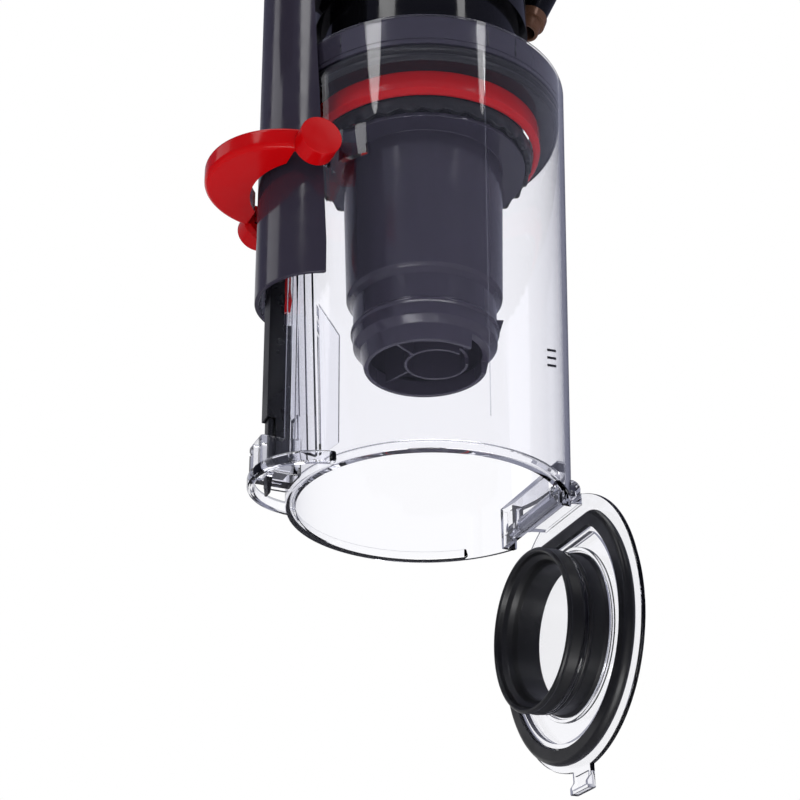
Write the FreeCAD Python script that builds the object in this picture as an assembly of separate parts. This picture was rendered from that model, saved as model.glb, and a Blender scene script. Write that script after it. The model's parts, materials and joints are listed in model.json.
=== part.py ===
"""Hand-held unit of a cordless stick vacuum, bin slid down and lid open (millimetres, +Z up).

The unit hangs bin-down. While it is modelled, the bin's axis is Z and the bin's rim, as it lies at rest,
is the plane z = 0; the duct sleeve is at -X and the lid's hinge at +X. Each piece is then moved so that
the origin of the row is the middle of the hand grip.
"""
import FreeCAD, Part
import math
import os

V = FreeCAD.Vector

# ---- driving dimensions ----------------------------------------------------------------------------
FIT = 0.3                  # gap between curved faces that meet
RUN = 0.05                 # radial clearance of a running fit

RIM_R = 59.0               # clear bin, outside radius at the rim
BIN_TOP_R = 65.9           # and at its top edge
BIN_H = 205.0
BIN_WALL = 2.0
RIM_BEAD_H = 4.5           # thick moulded rim
RIM_BEAD_R = 54.4          # its inside radius
BEAD_END = 37.0            # the bead stops short of the hinge, clear of the lid's seal
SLIDE = 56.0               # how far the closed bin is above the open one

HINGE_FLAT = 49.0          # the bin wall is cut back to this chord behind the hinge
HINGE_HALF = 25.0          # half width of that recess
HINGE_RECESS_H = 17.0
HINGE_X = 54.6
HINGE_Z = 8.6
PIN_R = 1.6
KNUCKLE_R = 4.0
KNUCKLE_W = 8.0            # each bin knuckle
LID_OPEN = 91.0            # degrees from closed to the rest pose

LID_R = 56.6
LID_T = 2.2
LID_FLAT = 43.0            # chord of the seal, beside the hinge
LID_EDGE = 50.0            # chord of the lid plate itself
SEAL_RO = 53.9             # outer black seal
SEAL_W = 6.4
SEAL_H = 4.6
SEAL_CORNER = 3.0          # inside radius of its two corners
GASKET_R = 33.6            # tall rubber gasket, outside radius of its lips
GASKET_H = 19.4
GASKET_WALL = 2.2
TAB_W = 15.0

MOUTH_R = 26.6             # dust collector, outside radius at its mouth
MOUTH_Z = 65.4
TUBE_R = 14.0              # inner tube, seen in the mouth
TUBE_X = 5.0               # its axis is off the mouth's, towards the hinge
TUBE_WALL = 1.4
NECK_R = 31.3
LEDGE_Z = 75.6
COLLECTOR_R = 34.2         # large plain cylinder, at its lower edge
COLLECTOR_TOP_R = 36.4
COLLECTOR_Z = 97.6
COLLECTOR_WALL = 2.0
MESH_R = 46.8              # wider perforated shroud above it
MESH_Z = BIN_H - 38.5
MESH_WALL = 1.2
MESH_SLOTS = 36
MESH_TOP = BIN_H - 2       # the slots end here, and the wall above is plain
BODY_R = 50.7              # cyclone body
BODY_Z = BIN_H + 35.5
BODY_WALL = 2.5

BAND_Z = BIN_H - 14.2      # collar at the top of the bin: plain band, black seal, red ring, wiper
COLLAR_Z = BIN_H - 22
COLLAR_RI = BIN_TOP_R - 13.7
RED_R = COLLAR_RI + 1.8
RED_LOW_R = RED_R - 2.4
RED_Z = COLLAR_Z - 10.8
RED_WALL = 2.0
WIPER_Z = RED_Z - 6.8
WIPER_R = RED_LOW_R - 0.2
WIPER_LOBES = 30

ARCH_R = 29.4              # duct sleeve: an arched shell round the runner
ARCH_X = -47.2             # centre of the arch
ARCH_WALL = 2.0
ARCH_HALF = 71.0           # degrees each side
ARCH_Z = 86.3              # open mouth of the sleeve
ARCH_TOP = BIN_H + 57

RAIL_Y = (6.0, 12.0, 18.0) # clear rails on the bin, each side
RAIL_W = 1.6
RAIL_X = 65.0
RAIL_Z = (6.0, 160.0)
HOOP_R = 28.5              # clear hoop round the rim's lug
HOOP_X = -49.0
HOOP_WALL = 2.6
HOOP_H = 5.0
GUIDE_X = (-76.0, -58.0)   # box round the foot of the runner
GUIDE_HALF = 7.4
GUIDE_Z = (4.0, 18.0)
FIN_ANGLE = 199.0          # inner fin plate
FIN_DEPTH = 10.6
FIN_Z = (5.0, 76.0)

RUNNER_X = (-72.3, -62.5)
RUNNER_W = 7.0
RUNNER_Z = 7.0
RUNNER_STEP_Z = 28.0
POCKET_Z = 71.5
RUNNER_TOP = 150.0
ROD_X = (-71.3, -68.9)
ROD_W = 4.6
ROD_Z = -5.0
ROD_TOP = 112.0
CATCH_PIN_R = 1.2          # pivot of the red catch, along X
CATCH_PIN_Z = 100.0
CATCH_TOP = 104.0

LEVER_X = -64.6            # axis of the lever's bosses
LEVER_Z = 143.0
BOSS_R = 9.1
BOSS_Y = (30.2, 41.5)
BOSS_BEVEL = 2.0           # slope at the inner end, clear of the bin
BOSS_PIN_R = 3.0
BOSS_FACE = 1.5            # closed outer face of each boss
LEVER_LOW = 2.9            # the yoke's lower face, below the bosses' axis
LEVER_T = 10.2
LEVER_OUT = (36.4, 34.4)   # semi-axes of the outer edge
LEVER_EDGE = 2.6           # rounding of the outer edge
LEVER_GAP = 2.0            # between the yoke and the sleeve
LEVER_BACK = 1.5           # its opening is set back from the sleeve's axis
LUG_Z = (134.0, 156.0)
LUG_Y = 28.2               # inner face of the lugs, clear of the sleeve
LUG_ROOT = ((-54.0, 36.0), (-50.5, 40.6), (-45.0, 45.6), (-40.0, 44.0))   # its foot on the wall, in plan

CONE_ANGLES = (0, 40, -40, 80, -80, 120, -120)   # none behind the neck of the casing
CONE_Z = BIN_H + 57.6
CONE_TILT = 17.0
CONE_R = (6.0, 12.0)
TIP_L = 11.0
TIP_WALL = 1.6

COVER_R = 79.0
COVER_Z = CONE_Z + 37.7
COVER_H = 20.0
COVER_WALL = 2.2
CONE_TIP_R = COVER_R - 22  # radius of the circle of tips
CONE_L = 1.22 * (COVER_Z - CONE_Z)   # before it is cut level under the cover
MOTOR_R = 50.0
MOTOR_TOP = COVER_Z + COVER_H + 51.7
MOTOR_WALL = 2.5
FILTER_H = 26.0
BUCKET_R = 40.0
STATOR_R = 26.0
STATOR_H = 22.0
STATOR_Z = MOTOR_TOP - 38
SHAFT_R = 2.5
SHAFT_ENDS = (18.0, 6.0)   # beyond the stator, below and above
MAGNET_R = 7.6
MAGNET_END = 3.0           # inside the stator's ends
BEARING_R = 6.5
BEARING_H = 5.0
IMPELLER_R = 16.0
IMPELLER_H = 10.5
BLADES = 9

NECK_W = 46.0              # neck between motor casing and grip
NECK_X = -80.0
NECK_Z = (ARCH_TOP, MOTOR_TOP - 12)
NECK_WALL = 3.0
BOARD_Z = NECK_Z[1] - 14   # underside of the circuit board
BOARD_T = 1.6
CHIP = (4.5, 6.0, 1.4)
BUTTON_X = (-76.0, -58.0)  # window of the mode button
BUTTON_W = 10.0
GRIP_Z = COVER_Z + 34.7
GRIP_MID = -122.0
GRIP_END = -168.0
GRIP_W = 31.0
GRIP_H = 37.0
GRIP_WALL = 2.4
TRIGGER_X = (-104.0, -86.0)
TRIGGER_W = 14.0
TRIGGER_DROP = 17.0
AXLE_R = 2.0               # trigger axle
AXLE_HALF = 10.5

BATTERY_W = 66.0
BATTERY_L = 42.0
BATTERY_H = 86.0
BATTERY_WALL = 2.4
BATTERY_BACK = 1.5         # wall behind the plug
LATCH_X = (4.0, 16.0)      # behind the plug's root
LATCH_W = 14.0
LATCH_T = 2.7
PLUG_L = 14.0              # battery plug inside the grip
CELL_R = 9.15
CELL_L = 65.0
SOCKET_R = 2.75            # charging socket
SOCKET_L = 10.0

ORIGIN = V(GRIP_MID, 0, GRIP_Z)   # middle of the grip
Z_AXIS = V(0, 0, 1)
Y_AXIS = V(0, 1, 0)
HALF = 200.0               # half size of a cutting block


# ---- helpers ---------------------------------------------------------------------------------------
def cylinder(r, z0, z1, x=0.0, y=0.0):
    return Part.makeCylinder(r, z1 - z0, V(x, y, z0))


def ring(ro, ri, z0, z1, x=0.0, y=0.0):
    return cylinder(ro, z0, z1, x, y).cut(cylinder(ri, z0 - 1, z1 + 1, x, y))


def box(x0, x1, y0, y1, z0, z1):
    return Part.makeBox(x1 - x0, y1 - y0, z1 - z0, V(x0, y0, z0))


def turned(points):
    """Solid of revolution about Z from a closed (radius, height) outline."""
    loop = [V(r, 0, z) for r, z in points]
    face = Part.Face(Part.makePolygon(loop + [loop[0]]))
    return face.revolve(V(0, 0, 0), Z_AXIS, 360)


def prism(points, y0, y1):
    """Outline of (x, z) points, extruded along Y."""
    loop = [V(x, y0, z) for x, z in points]
    return Part.Face(Part.makePolygon(loop + [loop[0]])).extrude(V(0, y1 - y0, 0))


def plate(points, z0, z1):
    """Outline of (x, y) points, extruded along Z."""
    loop = [V(x, y, z0) for x, y in points]
    return Part.Face(Part.makePolygon(loop + [loop[0]])).extrude(V(0, 0, z1 - z0))


def across(r, y0, y1, x, z):
    """Cylinder along Y."""
    return Part.makeCylinder(r, y1 - y0, V(x, y0, z), Y_AXIS)


def spun(shape, degrees):
    copy = shape.copy()
    copy.rotate(V(0, 0, 0), Z_AXIS, degrees)
    return copy


def fused(shapes):
    first, rest = shapes[0], list(shapes[1:])
    return first.fuse(rest).removeSplitter() if rest else first


def bin_radius(z):
    """Outside radius of the bin wall at height z."""
    return RIM_R + (BIN_TOP_R - RIM_R) * z / BIN_H


def bin_cone(offset, z0, z1):
    """Solid cone that follows the bin wall, offset outwards."""
    return turned([(0, z0), (bin_radius(z0) + offset, z0), (bin_radius(z1) + offset, z1), (0, z1)])


def opened(shape):
    """A piece of the closed lid, swung to the rest pose about the hinge."""
    copy = shape.copy()
    copy.rotate(V(HINGE_X, 0, HINGE_Z), Y_AXIS, -LID_OPEN)
    return copy


# ---- bin -------------------------------------------------------------------------------------------
def hinge_recess(grow=0.0):
    """Space cut out of the bin's side for the hinge."""
    return box(HINGE_FLAT - grow, HALF, -HINGE_HALF - grow, HINGE_HALF + grow, -1, HINGE_RECESS_H + grow)


def bin_knuckle(side):
    y0 = side * HINGE_HALF - (KNUCKLE_W if side > 0 else 0)
    eye = across(KNUCKLE_R, y0, y0 + KNUCKLE_W, HINGE_X, HINGE_Z)
    web = box(HINGE_FLAT - BIN_WALL, HINGE_X, y0, y0 + KNUCKLE_W, HINGE_Z - 3, HINGE_RECESS_H + 0.5)
    return eye.fuse(web)


def rails():
    pieces = []
    for y in RAIL_Y:
        for side in (-1, 1):
            pieces.append(box(-RAIL_X - 0.6, -50, side * y - RAIL_W / 2, side * y + RAIL_W / 2, *RAIL_Z))
    return fused(pieces)


def lever_lug(side):
    """Faceted lug on the wall that carries one boss of the lever: a thin cheek, and a foot beside the boss."""
    y1 = BOSS_Y[0] - FIT
    root = LEVER_X + 14
    outline = [(root, LUG_Z[0]), (LEVER_X, LUG_Z[0] + 6), (LEVER_X - 5, LEVER_Z - 3), (LEVER_X - 5, LEVER_Z + 3),
               (LEVER_X + 2, LUG_Z[1]), (root, LUG_Z[1])]
    foot = plate([(root, LUG_Y), (LUG_ROOT[0][0], LUG_Y)] + list(LUG_ROOT), LUG_Z[0] + 2, LUG_Z[1] - 2)
    pin = across(BOSS_PIN_R, y1 - 1, BOSS_Y[1] - BOSS_FACE, LEVER_X, LEVER_Z)
    lug = prism(outline, LUG_Y, y1).fuse([foot, pin])
    return lug if side > 0 else lug.mirror(V(0, 0, 0), Y_AXIS)


def rim_hoop():
    band = ring(HOOP_R, HOOP_R - HOOP_WALL, 0, HOOP_H, HOOP_X)
    guide = box(*GUIDE_X, -GUIDE_HALF, GUIDE_HALF, *GUIDE_Z)
    half = RUNNER_W / 2 + FIT
    slot = box(RUNNER_X[0] - FIT, GUIDE_X[1] - 0.5, -half, half, RUNNER_Z - FIT, GUIDE_Z[1] + 12)
    rod = box(ROD_X[0] - FIT, ROD_X[1] + FIT, -ROD_W / 2 - FIT, ROD_W / 2 + FIT, -5, 30)
    foot = box(*GUIDE_X, -GUIDE_HALF, GUIDE_HALF, GUIDE_Z[0] - 2, GUIDE_Z[0] + 1)
    return band.fuse([guide, foot]).cut(slot).cut(rod)


def fin():
    outline = [(-bin_radius(FIN_Z[0]) + 1, FIN_Z[0]), (-bin_radius(FIN_Z[1]) + 1, FIN_Z[1]),
               (-bin_radius(0) + FIN_DEPTH, FIN_Z[1] - 12), (-bin_radius(0) + FIN_DEPTH, FIN_Z[0] + 10)]
    return spun(prism(outline, -0.75, 0.75), FIN_ANGLE - 180)


def clear_bin():
    outside = bin_cone(0, 0, BIN_H)
    inside = bin_cone(-BIN_WALL, -1, BIN_H + 1)
    extras = [rails(), rim_hoop(), lever_lug(1), lever_lug(-1)]
    shell = outside.fuse(extras).cut(inside)
    bead = turned([(RIM_BEAD_R, 0), (RIM_R - 1, 0), (RIM_R - 1, RIM_BEAD_H), (RIM_BEAD_R + 1.5, RIM_BEAD_H)])
    bead = bead.cut(box(BEAD_END, HALF, -HALF, HALF, -1, RIM_BEAD_H + 1))
    shell = shell.fuse([bead, fin()])
    pocket = hinge_recess(BIN_WALL).common(bin_cone(-0.2, 0, HINGE_RECESS_H + 10))
    shell = shell.fuse(pocket).cut(hinge_recess())
    shell = shell.fuse([bin_knuckle(1), bin_knuckle(-1)])
    bore = across(PIN_R + RUN, -HALF, HALF, HINGE_X, HINGE_Z)
    return shell.cut(bore).removeSplitter()


def bin_inside(z):
    return bin_radius(z) - BIN_WALL


def collar_band():
    return turned([(COLLAR_RI, BAND_Z), (bin_inside(BAND_Z) - FIT, BAND_Z), (bin_inside(BIN_H) - FIT, BIN_H),
                   (bin_inside(BIN_H) - 3, BIN_H), (bin_inside(BIN_H) - 3, BAND_Z + 3), (COLLAR_RI, BAND_Z + 3)])


def collar_seal():
    low, high = bin_inside(COLLAR_Z) - FIT, bin_inside(BAND_Z) - FIT
    return turned([(COLLAR_RI, COLLAR_Z), (low - 1.2, COLLAR_Z), (low, COLLAR_Z + 1.2), (low, COLLAR_Z + 2.4),
                   (low - 1.4, COLLAR_Z + 3.6), (low - 1.4, COLLAR_Z + 4.6), (high, COLLAR_Z + 5.8),
                   (high, BAND_Z), (COLLAR_RI, BAND_Z)])


def red_ring():
    return turned([(RED_LOW_R, RED_Z), (RED_LOW_R + 0.4, RED_Z), (RED_R, RED_Z + 2), (RED_R, COLLAR_Z),
                   (RED_R - RED_WALL + 0.2, COLLAR_Z), (RED_R - RED_WALL - 0.4, RED_Z + 2), (RED_LOW_R - 1.2, RED_Z)])


def shroud_wiper():
    """Rubber skirt with a scalloped lower edge that wipes the shroud."""
    bore = MESH_R + FIT
    skirt = turned([(bore, WIPER_Z), (bore + 1.6, WIPER_Z), (WIPER_R - 1.4, RED_Z), (bore, RED_Z)])
    pitch = 360.0 / WIPER_LOBES
    notches = []
    for i in range(WIPER_LOBES):
        notch = Part.makeCylinder(2.9, 12, V(bore - 4, 0, WIPER_Z - 1.2), V(1, 0, 0))
        notches.append(spun(notch, (i + 0.5) * pitch))
    return skirt.cut(notches)


def bin_runner():
    w = RUNNER_W / 2
    low = box(RUNNER_X[0], RUNNER_X[1], -w, w, RUNNER_Z, POCKET_Z)
    high = box(RUNNER_X[0], -RAIL_X - 0.9, -w, w, POCKET_Z, RUNNER_TOP)
    slot = box(ROD_X[0] - FIT, ROD_X[1] + FIT, -ROD_W / 2 - FIT, ROD_W / 2 + FIT, 0, RUNNER_TOP + 1)
    notch = box(RUNNER_X[0] - 1, ROD_X[1] + FIT, -w - 1, w + 1, 0, RUNNER_STEP_Z)
    bore = Part.makeCylinder(CATCH_PIN_R + RUN, 4, V(-RAIL_X - 3.4, 0, CATCH_PIN_Z), V(1, 0, 0))
    return low.fuse(high).cut(slot).cut(notch).cut(bore).removeSplitter()


def pushrod():
    w = ROD_W / 2
    bar = box(ROD_X[0], ROD_X[1], -w, w, ROD_Z + 6, ROD_TOP)
    middle = (ROD_X[0] + ROD_X[1]) / 2
    point = prism([(ROD_X[0], ROD_Z + 6), (middle - 0.5, ROD_Z), (middle + 0.5, ROD_Z), (ROD_X[1], ROD_Z + 6)], -w, w)
    return bar.fuse(point).removeSplitter()


def runner_catch():
    """Red catch on a pivot pin in the runner, between the runner and the bin wall."""
    x0, x1 = -RAIL_X - 0.6, -bin_radius(CATCH_TOP) - FIT
    blade = [(-1.6, CATCH_TOP), (2.4, CATCH_TOP), (2.4, 88), (0.8, 79.6), (-1.8, 79), (-3.4, 84), (-1.6, 90)]
    loop = [V(x0, y, z) for y, z in blade]
    body = Part.Face(Part.makePolygon(loop + [loop[0]])).extrude(V(x1 - x0, 0, 0))
    pin = Part.makeCylinder(CATCH_PIN_R, 2.4, V(x0 - 1.9, 0, CATCH_PIN_Z), V(1, 0, 0))
    return body.fuse(pin).removeSplitter()


def release_lever():
    """Red horseshoe that runs round the sleeve from boss to boss."""
    a, b = LEVER_OUT
    z0 = LEVER_Z - LEVER_LOW
    z1 = z0 + LEVER_T
    oval = Part.Ellipse(V(LEVER_X - a, 0, z0), V(LEVER_X, b, z0), V(LEVER_X, 0, z0))
    blank = Part.Face(Part.Wire(oval.toShape())).extrude(V(0, 0, z1 - z0))
    blank = blank.makeFillet(LEVER_EDGE, blank.Edges)
    blank = blank.cut(box(LEVER_X + 1, HALF, -HALF, HALF, z0 - 1, z1 + 1))
    opening = cylinder(ARCH_R + LEVER_GAP, z0 - 1, z1 + 1, ARCH_X - LEVER_BACK).fuse(
        box(LEVER_X - 8, 0, -BOSS_Y[0], BOSS_Y[0], z0 - 1, z1 + 1))
    yoke = blank.cut(opening)
    for side in (-1, 1):
        slope = Part.makeCone(BOSS_R - BOSS_BEVEL, BOSS_R, BOSS_BEVEL, V(LEVER_X, side * BOSS_Y[0], LEVER_Z),
                              V(0, side, 0))
        boss = Part.makeCylinder(BOSS_R, BOSS_Y[1] - BOSS_Y[0] - BOSS_BEVEL,
                                 V(LEVER_X, side * (BOSS_Y[0] + BOSS_BEVEL), LEVER_Z), V(0, side, 0))
        yoke = yoke.fuse([slope, boss])
    end = BOSS_Y[1] - BOSS_FACE + FIT
    bore = across(BOSS_PIN_R + RUN, -end, end, LEVER_X, LEVER_Z)
    return yoke.cut([bore, bin_cone(0.5, LUG_Z[0], LUG_Z[1] + 4)]).removeSplitter()


def hinge_pin():
    return across(PIN_R, -HINGE_HALF - 0.5, HINGE_HALF + 0.5, HINGE_X, HINGE_Z)


# ---- lid, drawn closed -----------------------------------------------------------------------------
def d_disc(r, flat, z0, z1, corner=0.0):
    """Disc cut off at a chord, with its two corners rounded where a radius is given."""
    disc = cylinder(r, z0, z1).cut(box(flat, HALF, -HALF, HALF, z0 - 1, z1 + 1))
    if not corner:
        return disc
    upright = [e for e in disc.Edges if abs(e.Length - (z1 - z0)) < 0.01
               and all(abs(v.X - flat) < 0.01 for v in e.Vertexes)]
    return disc.makeFillet(corner, upright)


def lid_barrel(y0, y1):
    eye = across(KNUCKLE_R - 0.4, y0, y1, HINGE_X, HINGE_Z)
    arm = prism([(LID_EDGE - 4, -LID_T), (HINGE_X + 2.4, -LID_T), (HINGE_X + KNUCKLE_R - 0.6, HINGE_Z),
                 (HINGE_X - KNUCKLE_R + 1.2, HINGE_Z), (HINGE_X - 2.6, 0), (LID_EDGE - 4, 0)], y0, y1)
    return eye.fuse(arm)


def lid():
    floor = d_disc(LID_R, LID_EDGE, -LID_T, 0)
    ridge = d_disc(SEAL_RO - SEAL_W - 0.4, LID_FLAT - SEAL_W - 0.4, 0, 3.2, SEAL_CORNER)
    ridge = ridge.cut(d_disc(SEAL_RO - SEAL_W - 2.4, LID_FLAT - SEAL_W - 2.4, -0.5, 4, SEAL_CORNER / 2))
    seat = ring(GASKET_R - GASKET_WALL - FIT, GASKET_R - GASKET_WALL - 2.2, -0.5, 5.0)
    dish = ring(GASKET_R + 2.6, GASKET_R + 1.2, -0.5, 1.8)
    end = HINGE_HALF - KNUCKLE_W - FIT
    prong = [(-LID_R + 4, -LID_T), (-LID_R + 4, 0), (-LID_R - 4, 0), (-LID_R - 7, 1.6), (-LID_R - 9, 1.6),
             (-LID_R - 9, -LID_T)]
    tab = prism(prong, -TAB_W / 2, TAB_W / 2)
    body = floor.fuse([ridge, seat, dish, tab, lid_barrel(-end, end)])
    bore = across(PIN_R + RUN, -HALF, HALF, HINGE_X, HINGE_Z)
    return body.cut(bore).removeSplitter()


def lid_seal():
    outer = d_disc(SEAL_RO, LID_FLAT, 0, SEAL_H, SEAL_CORNER + SEAL_W / 2)
    inner = d_disc(SEAL_RO - SEAL_W, LID_FLAT - SEAL_W, -1, SEAL_H + 1, SEAL_CORNER)
    seal = outer.cut(inner)
    top = [e for e in seal.Edges if all(abs(v.Z - SEAL_H) < 0.01 for v in e.Vertexes)]
    return seal.makeFillet(SEAL_W / 4, top)


def lid_gasket():
    r, w, h = GASKET_R, GASKET_WALL, GASKET_H
    return turned([(r - w, 0), (r + 0.6, 0), (r + 0.6, 1.4), (r - 0.6, 2.6), (r - 0.6, h * 0.42), (r, h * 0.47),
                   (r - 1.0, h * 0.53), (r - 1.0, h * 0.58), (r, h * 0.64), (r - 0.3, h - 1.2), (r - 1.0, h),
                   (r - w + 0.2, h), (r - w, h * 0.55), (r - w + 0.5, h * 0.5), (r - w, h * 0.45)])


# ---- cyclone ---------------------------------------------------------------------------------------
def shroud_collector():
    w = COLLECTOR_WALL
    outline = [(MOUTH_R - w, MOUTH_Z), (MOUTH_R, MOUTH_Z), (MOUTH_R + 1.6, LEDGE_Z - 3), (NECK_R, LEDGE_Z),
               (NECK_R + 1, LEDGE_Z + 6.5), (NECK_R, LEDGE_Z + 8), (NECK_R, COLLECTOR_Z - 2.5),
               (COLLECTOR_R - 1.5, COLLECTOR_Z), (COLLECTOR_R, COLLECTOR_Z + 1.5), (COLLECTOR_TOP_R, MESH_Z - 2),
               (MESH_R, MESH_Z - 2), (MESH_R, MESH_Z), (COLLECTOR_TOP_R - w, MESH_Z),
               (COLLECTOR_R - w, COLLECTOR_Z + 4), (NECK_R - w, COLLECTOR_Z - 4), (NECK_R - w, LEDGE_Z + 1),
               (MOUTH_R - w, LEDGE_Z - 3)]
    body = turned(outline)
    notch = box(10, MOUTH_R + 3, -MOUTH_R, -6, MOUTH_Z - 1, MOUTH_Z + 6)
    fins = []
    for angle, z in ((-18, LEDGE_Z + 6), (8, LEDGE_Z + FIT)):
        ramp = prism([(NECK_R - 4, z), (NECK_R + 1.2, z + 2), (NECK_R + 3.4, z + 9), (NECK_R - 4, z + 9)], -1, 1)
        fins.append(spun(ramp, angle))
    low, high = MOUTH_Z + 3, COLLECTOR_Z - 6
    tube = ring(TUBE_R, TUBE_R - TUBE_WALL, low, high, TUBE_X)
    webs = [spun(box(TUBE_R - 2 * TUBE_X, MOUTH_R - 1, -0.6, 0.6, low, high), angle) for angle in (110, -150)]
    webs = [web.cut(cylinder(TUBE_R - 0.5, low - 1, high + 1, TUBE_X)) for web in webs]
    return body.cut(notch).fuse(fins + [tube] + webs).removeSplitter()


def shroud_mesh():
    wall = ring(MESH_R, MESH_R - MESH_WALL, MESH_Z, BODY_Z)
    slots = []
    for i in range(MESH_SLOTS):
        slot = box(MESH_R - 3, MESH_R + 3, -1.2, 1.2, MESH_Z + 8, MESH_TOP)
        slots.append(spun(slot, i * 360.0 / MESH_SLOTS))
    return wall.cut(slots)


def cyclone_body():
    body = turned([(MESH_R - MESH_WALL, BODY_Z), (BODY_R, BODY_Z), (BODY_R, COVER_Z), (BODY_R - BODY_WALL, COVER_Z),
                   (BODY_R - BODY_WALL, BODY_Z + 2), (MESH_R - MESH_WALL, BODY_Z + 2)])
    return body


def cone_place(shape, angle):
    """Tilt a cone that was drawn along Z from its tip and set it on the circle of tips."""
    copy = shape.copy()
    copy.rotate(V(0, 0, 0), Y_AXIS, CONE_TILT)
    lowest = CONE_R[0] * math.sin(math.radians(CONE_TILT))
    copy.translate(V(CONE_TIP_R, 0, CONE_Z + lowest))
    return spun(copy, angle)


def cone_wall(z0, z1, wall, r0, r1):
    return turned([(r0 - wall, z0), (r0, z0), (r1, z1), (r1 - wall, z1)])


def cyclone_tip(angle):
    r0, r1 = CONE_R
    rt = r0 + (r1 - r0) * TIP_L / CONE_L
    step = cone_wall(0, TIP_L * 0.55, TIP_WALL, r0, rt - 0.6)
    cuff = cone_wall(TIP_L * 0.55, TIP_L, TIP_WALL, rt + 0.6, rt + 0.9)
    return cone_place(step.fuse(cuff), angle)


def cyclone_cone(angle):
    r0, r1 = CONE_R
    rt = r0 + (r1 - r0) * TIP_L / CONE_L
    cone = cone_place(cone_wall(TIP_L, CONE_L, 1.5, rt, r1), angle)
    return cone.cut(box(-HALF, HALF, -HALF, HALF, COVER_Z, COVER_Z + HALF))


def cyclone_cover():
    """Ring-shaped manifold on the upper ends of the cones, open behind for the neck."""
    top = COVER_Z + COVER_H
    w = COVER_WALL
    inner = MOTOR_R - MOTOR_WALL
    cover = turned([(inner, COVER_Z), (COVER_R - 2, COVER_Z), (COVER_R, COVER_Z + 2), (COVER_R - 1, top - 4),
                    (COVER_R - 5, top), (inner, top), (inner, top - w), (COVER_R - 6, top - w),
                    (COVER_R - 1 - w, top - 5), (COVER_R - w, COVER_Z + w), (inner, COVER_Z + w)])
    rise = math.tan(math.radians(CONE_TILT)) * (COVER_Z - CONE_Z)
    port = cylinder(CONE_R[1] - 2.5, COVER_Z - 1, COVER_Z + w + 1, CONE_TIP_R + rise)
    ports = [spun(port, angle) for angle in CONE_ANGLES]
    room = box(-HALF, -inner + 12, -NECK_W / 2 - FIT, NECK_W / 2 + FIT, COVER_Z - 1, top + 1)
    return cover.cut(ports).cut(room)


# ---- motor and filter ------------------------------------------------------------------------------
def motor_housing():
    z0 = COVER_Z + COVER_H
    return turned([(MOTOR_R - MOTOR_WALL, z0), (MOTOR_R, z0), (MOTOR_R, MOTOR_TOP), (MOTOR_R - MOTOR_WALL, MOTOR_TOP)])


def motor_bucket():
    z0 = COVER_Z + COVER_H
    cup = turned([(STATOR_R - 8, z0), (MOTOR_R - MOTOR_WALL - FIT, z0), (MOTOR_R - MOTOR_WALL - FIT, z0 + 3),
                  (BUCKET_R, z0 + 3), (BUCKET_R, MOTOR_TOP - 6), (BUCKET_R - 2, MOTOR_TOP - 6),
                  (BUCKET_R - 2, z0 + 5), (STATOR_R - 8, z0 + 5)])
    struts = []
    for i in range(3):
        strut = box(STATOR_R + FIT, BUCKET_R - 1, -2, 2, STATOR_Z + 2, STATOR_Z + STATOR_H - 2)
        struts.append(spun(strut, 60 + 120 * i))
    return cup.fuse(struts).removeSplitter()


def motor_stator():
    core = ring(STATOR_R, 9.0, STATOR_Z, STATOR_Z + STATOR_H)
    slots = [spun(box(11, 21, -2.5, 2.5, STATOR_Z - 1, STATOR_Z + STATOR_H + 1), 60 * i) for i in range(6)]
    ends = []
    for z0, z1 in ((STATOR_Z - 4, STATOR_Z), (STATOR_Z + STATOR_H, STATOR_Z + STATOR_H + 4)):
        ends.append(ring(STATOR_R - 2, BEARING_R, z0, z1))
    return core.cut(slots).fuse(ends).removeSplitter()


def bearing_levels():
    low = STATOR_Z - 4
    high = STATOR_Z + STATOR_H + 4 - BEARING_H
    return low, high


def motor_bearings():
    low, high = bearing_levels()
    rings = [ring(BEARING_R - RUN, SHAFT_R + RUN, z, z + BEARING_H) for z in (low, high)]
    return Part.Compound(rings)


def rotor_shaft():
    low, high = SHAFT_ENDS
    shaft = cylinder(SHAFT_R, STATOR_Z - low, STATOR_Z + STATOR_H + high)
    magnet = cylinder(MAGNET_R, STATOR_Z + MAGNET_END, STATOR_Z + STATOR_H - MAGNET_END)
    return shaft.fuse(magnet).removeSplitter()


def impeller():
    z0 = STATOR_Z - SHAFT_ENDS[0] + 1
    top = z0 + IMPELLER_H
    hub = turned([(SHAFT_R, z0), (5, z0), (IMPELLER_R, top - 1.5), (IMPELLER_R, top), (SHAFT_R, top)])
    blades = []
    for i in range(BLADES):
        blade = prism([(4, z0 + 1), (9, z0), (IMPELLER_R - 1, z0 + 2), (IMPELLER_R - 1, top), (10, top)], -0.5, 0.5)
        blades.append(spun(blade, i * 360.0 / BLADES))
    return hub.fuse(blades).removeSplitter()


def filter_cap():
    z0, z1 = MOTOR_TOP + FIT, MOTOR_TOP + FILTER_H
    shell = turned([(MOTOR_R - MOTOR_WALL, z0), (MOTOR_R, z0), (MOTOR_R + 1, z0 + 4), (MOTOR_R + 1, z1 - 3),
                    (MOTOR_R - 2, z1), (0, z1), (0, z1 - 2), (MOTOR_R - MOTOR_WALL - 1, z1 - 3)])
    vents = []
    for i in range(40):
        vents.append(spun(box(MOTOR_R - 6, MOTOR_R + 4, -1.2, 1.2, z0 + 7, z1 - 7), i * 9.0))
    return shell.cut(vents)


def filter_media():
    return ring(MOTOR_R - MOTOR_WALL - 1.6, 22.0, MOTOR_TOP - 2, MOTOR_TOP + FILTER_H - 3.5)


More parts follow.
